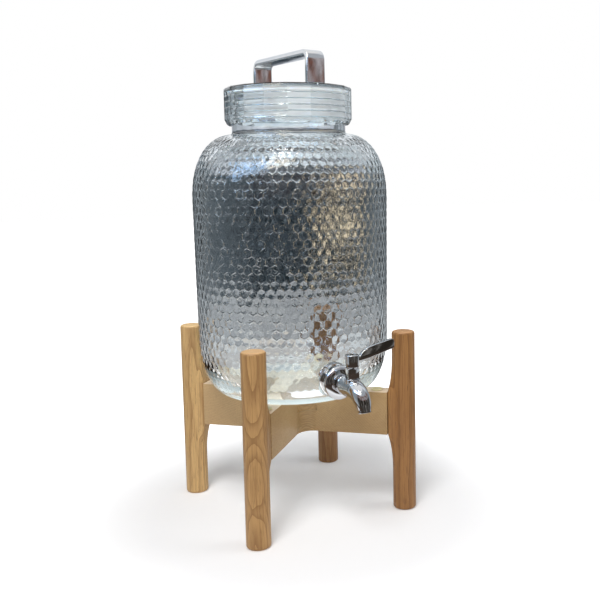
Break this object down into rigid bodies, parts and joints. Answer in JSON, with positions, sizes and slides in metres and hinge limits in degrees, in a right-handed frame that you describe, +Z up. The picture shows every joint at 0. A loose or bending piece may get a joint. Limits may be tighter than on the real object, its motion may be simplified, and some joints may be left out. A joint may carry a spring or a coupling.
{
  "type": "cold drink dispenser",
  "caption": "Textured clear glass drinks jar with a faceted glass screw lid, a steel handle and a lever tap, standing in a wooden cross stand on round legs.",
  "frame": {"origin": "on the floor under the middle of the whole object's bounding box; the jar's axis is 27.0 mm behind it", "axes": "+Z up along the jar's axis; -Y is the side of the tap; +X is to the right of someone who faces the tap, and is the way the closed lever points"},
  "size_m": [0.1852, 0.239, 0.4344],
  "materials": {
    "leg_wood": "satin lacquer",
    "rail_wood": "satin, fine grain",
    "dowel_wood": "unfinished",
    "bumper_silicone": "matte translucent silicone",
    "jar_glass": "clear pressed glass with rows of small dimples",
    "lid_glass": "clear faceted glass",
    "clear_silicone": "translucent silicone",
    "polished_steel": "polished stainless steel"
  },
  "bodies": {
    "stand": {"back_right_leg": "leg_wood", "back_left_leg": "leg_wood", "front_left_leg": "leg_wood", "front_right_leg": "leg_wood", "cross_rail_upper": "rail_wood", "cross_rail_lower": "rail_wood", "back_right_dowel_1": "dowel_wood", "back_right_dowel_2": "dowel_wood", "back_left_dowel_1": "dowel_wood", "back_left_dowel_2": "dowel_wood", "front_left_dowel_1": "dowel_wood", "front_left_dowel_2": "dowel_wood", "front_right_dowel_1": "dowel_wood", "front_right_dowel_2": "dowel_wood", "back_right_bumper": "bumper_silicone", "back_left_bumper": "bumper_silicone", "front_left_bumper": "bumper_silicone", "front_right_bumper": "bumper_silicone"},
    "jar": {"jar_base": "jar_glass", "jar_wall": "jar_glass", "jar_neck": "jar_glass", "tap_body": "polished_steel", "outer_washer": "clear_silicone", "inner_washer": "clear_silicone", "lock_nut": "polished_steel", "stem_packing": "clear_silicone", "bonnet_nut": "polished_steel"},
    "seal": {"lid_seal": "clear_silicone"},
    "lid": {"lid": "lid_glass", "lid_handle": "polished_steel", "handle_screw_front": "polished_steel", "handle_screw_back": "polished_steel"},
    "lever": {"tap_lever": "polished_steel", "lever_screw": "polished_steel", "valve_plug": "polished_steel"}
  },
  "joints": [
    {"name": "jar_lift", "type": "slide", "parent": "stand", "child": "jar", "axis": [0, 0, 1], "range_m": [0, 0.065]},
    {"name": "lid_rise", "type": "slide", "parent": "jar", "child": "seal", "axis": [0, 0, 1], "range_m": [0, 0.0189]},
    {"name": "lid_turn", "type": "hinge", "parent": "seal", "child": "lid", "pos_m": [0, 0.02699, 0.4], "axis": [0, 0, 1], "range_deg": [0, 720]},
    {"name": "tap_lever_turn", "type": "hinge", "parent": "jar", "child": "lever", "pos_m": [0, -0.09331, 0.16], "axis": [0, 0, 1], "range_deg": [-90, 0]}
  ],
  "couplings": [
    {"joint": "lid_rise", "follows": "lid_turn", "m_per_rad": 0.0014961}
  ]
}
